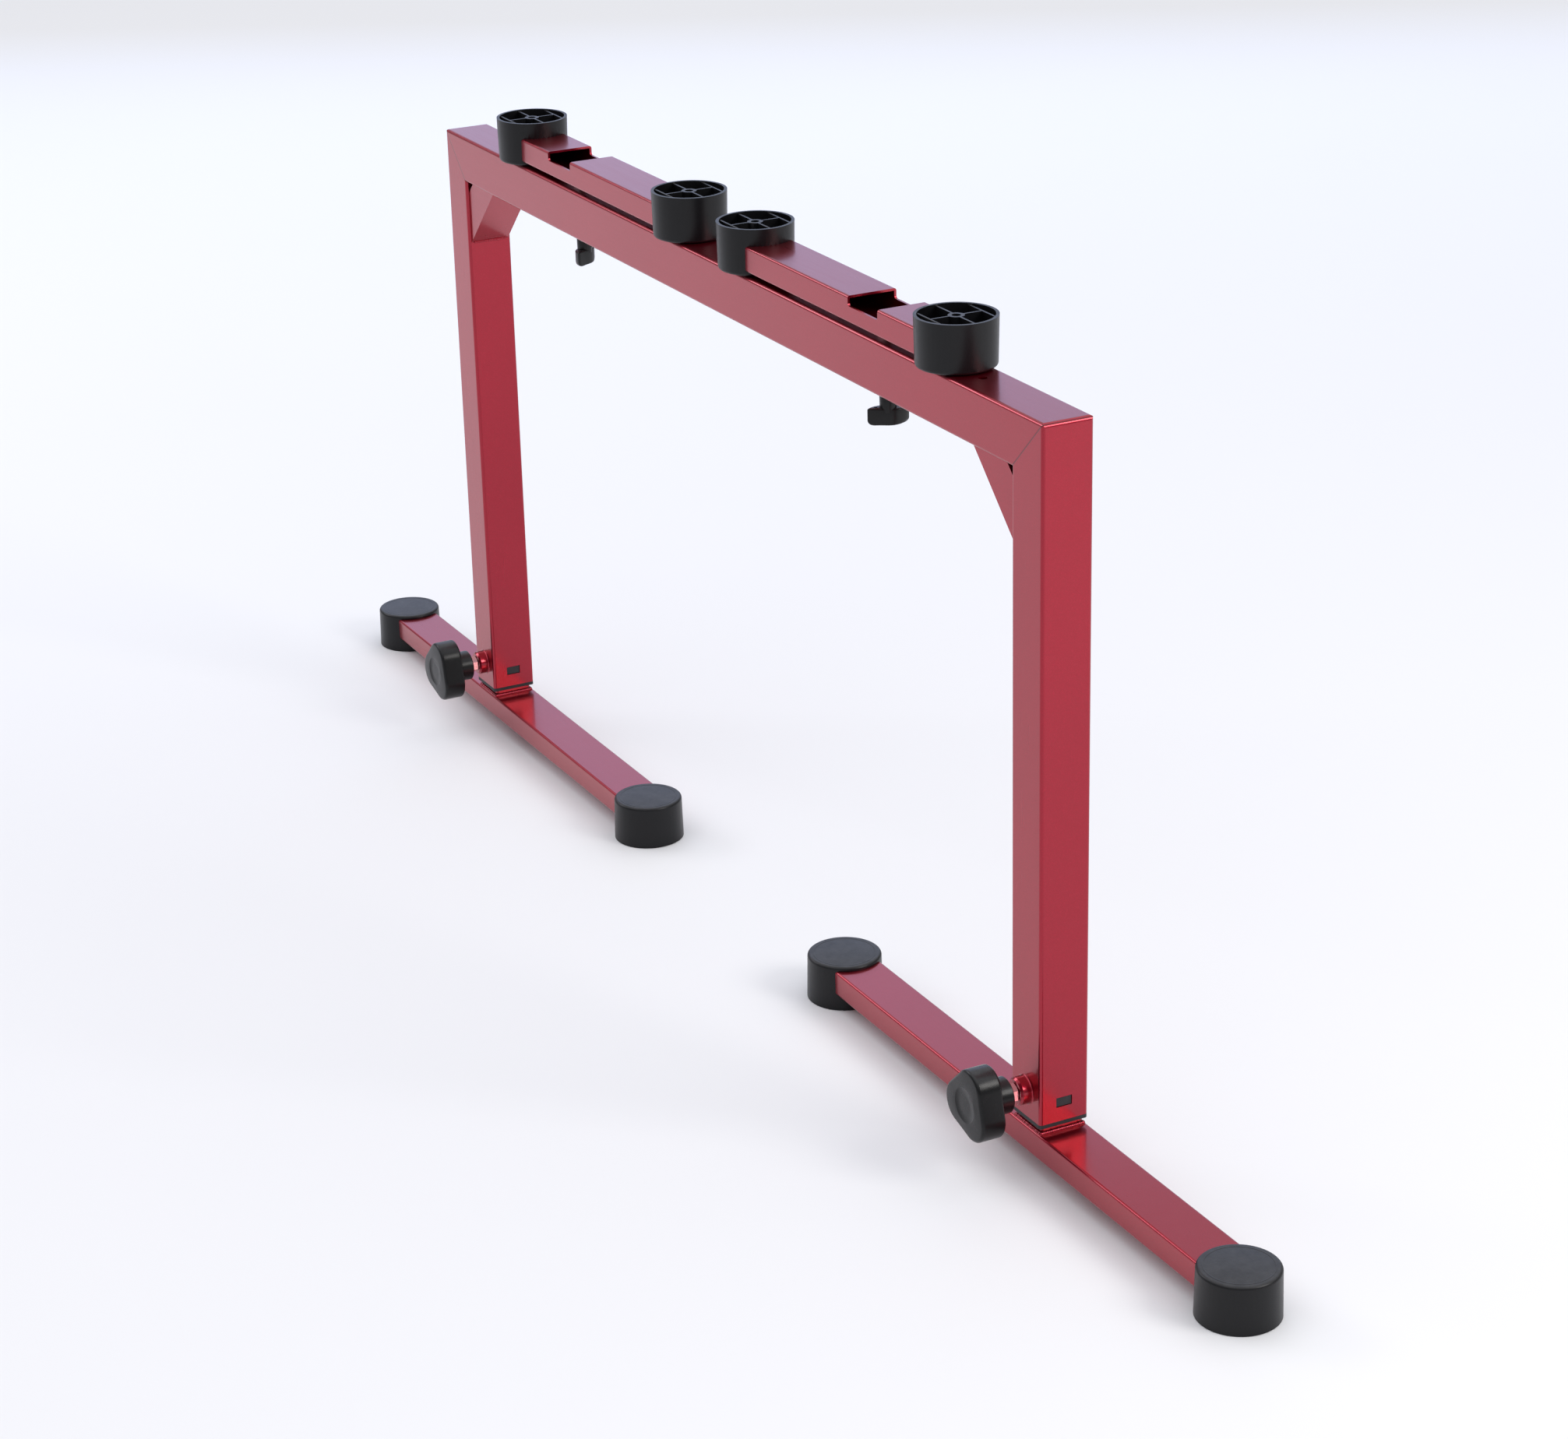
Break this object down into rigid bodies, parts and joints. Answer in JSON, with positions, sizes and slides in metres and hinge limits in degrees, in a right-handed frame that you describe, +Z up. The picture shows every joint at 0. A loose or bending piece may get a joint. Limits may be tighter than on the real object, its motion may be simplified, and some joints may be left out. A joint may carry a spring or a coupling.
{
  "type": "keyboard stand",
  "caption": "Low folding stand of square steel tube: height-adjustable legs on flat feet, and swivelling support arms screwed along the crossbar for carrying.",
  "frame": {"origin": "on the floor, at the middle of the overall box", "axes": "+X along the crossbar, -Y the side with the clamping knobs, +Z up"},
  "size_m": [1.524, 0.1002, 0.6],
  "materials": {
    "ruby_paint": "metallic gloss",
    "cap_plastic": "satin",
    "grip_plastic": "fine grain",
    "grey_plastic": "matte",
    "zinc": "zinc plated"
  },
  "bodies": {
    "frame": {"crossbar": "ruby_paint", "left_leg_tube": "ruby_paint", "right_leg_tube": "ruby_paint", "left_gusset": "ruby_paint", "right_gusset": "ruby_paint", "left_leg_guide": "grey_plastic", "right_leg_guide": "grey_plastic", "left_clamp_boss": "ruby_paint", "right_clamp_boss": "ruby_paint"},
    "left_foot": {"left_inner_tube": "ruby_paint", "left_slide_plug": "grey_plastic", "left_foot_tube": "ruby_paint", "left_foot_weld": "ruby_paint", "left_foot_cap_outer": "cap_plastic", "left_foot_cap_inner": "cap_plastic"},
    "left_arm": {"left_arm_tube": "ruby_paint", "left_arm_cap_outer": "cap_plastic", "left_arm_cap_inner": "cap_plastic", "left_arm_nut": "zinc"},
    "left_pad": {"left_clamp_pad": "grey_plastic"},
    "left_knob": {"left_knob_head": "grip_plastic", "left_knob_screw": "zinc", "left_knob_nut": "zinc"},
    "left_washer": {"left_wing_washer": "zinc"},
    "left_wing_screw": {"left_wing_bolt": "zinc", "left_wing_grip": "grip_plastic"},
    "right_foot": {"right_inner_tube": "ruby_paint", "right_slide_plug": "grey_plastic", "right_foot_tube": "ruby_paint", "right_foot_weld": "ruby_paint", "right_foot_cap_outer": "cap_plastic", "right_foot_cap_inner": "cap_plastic"},
    "right_arm": {"right_arm_tube": "ruby_paint", "right_arm_cap_outer": "cap_plastic", "right_arm_cap_inner": "cap_plastic", "right_arm_nut": "zinc"},
    "right_pad": {"right_clamp_pad": "grey_plastic"},
    "right_knob": {"right_knob_head": "grip_plastic", "right_knob_screw": "zinc", "right_knob_nut": "zinc"},
    "right_washer": {"right_wing_washer": "zinc"},
    "right_wing_screw": {"right_wing_bolt": "zinc", "right_wing_grip": "grip_plastic"}
  },
  "joints": [
    {"name": "left_leg_height", "type": "slide", "parent": "frame", "child": "left_foot", "axis": [0, 0, -1], "range_m": [0, 0.42]},
    {"name": "left_arm_swivel", "type": "hinge", "parent": "frame", "child": "left_arm", "pos_m": [-0.263, 0.02015, 0.5635], "axis": [0, 0, 1], "range_deg": [-90, 90]},
    {"name": "left_pad_travel", "type": "slide", "parent": "frame", "child": "left_pad", "axis": [0, -1, 0], "range_m": [0, 0.00219]},
    {"name": "left_knob_turn", "type": "hinge", "parent": "left_pad", "child": "left_knob", "pos_m": [-0.49, -0.01985, 0.0625], "axis": [0, -1, 0], "range_deg": [0, 630]},
    {"name": "left_washer_travel", "type": "slide", "parent": "frame", "child": "left_washer", "axis": [0, 0, -1], "range_m": [0, 0.0022]},
    {"name": "left_wing_turn", "type": "hinge", "parent": "left_washer", "child": "left_wing_screw", "pos_m": [-0.263, 0.02015, 0.52], "axis": [0, 0, -1], "range_deg": [0, 630]},
    {"name": "right_leg_height", "type": "slide", "parent": "frame", "child": "right_foot", "axis": [0, 0, -1], "range_m": [0, 0.42]},
    {"name": "right_arm_swivel", "type": "hinge", "parent": "frame", "child": "right_arm", "pos_m": [0.263, 0.02015, 0.5635], "axis": [0, 0, 1], "range_deg": [-90, 90]},
    {"name": "right_pad_travel", "type": "slide", "parent": "frame", "child": "right_pad", "axis": [0, -1, 0], "range_m": [0, 0.00219]},
    {"name": "right_knob_turn", "type": "hinge", "parent": "right_pad", "child": "right_knob", "pos_m": [0.49, -0.01985, 0.0625], "axis": [0, -1, 0], "range_deg": [0, 630]},
    {"name": "right_washer_travel", "type": "slide", "parent": "frame", "child": "right_washer", "axis": [0, 0, -1], "range_m": [0, 0.0022]},
    {"name": "right_wing_turn", "type": "hinge", "parent": "right_washer", "child": "right_wing_screw", "pos_m": [0.263, 0.02015, 0.52], "axis": [0, 0, -1], "range_deg": [0, 630]}
  ],
  "couplings": [
    {"joint": "left_knob_turn", "follows": "left_pad_travel", "rad_per_m": 5026.5},
    {"joint": "left_washer_travel", "follows": "left_wing_turn", "m_per_rad": 0.00019894},
    {"joint": "right_knob_turn", "follows": "right_pad_travel", "rad_per_m": 5026.5},
    {"joint": "right_washer_travel", "follows": "right_wing_turn", "m_per_rad": 0.00019894}
  ]
}
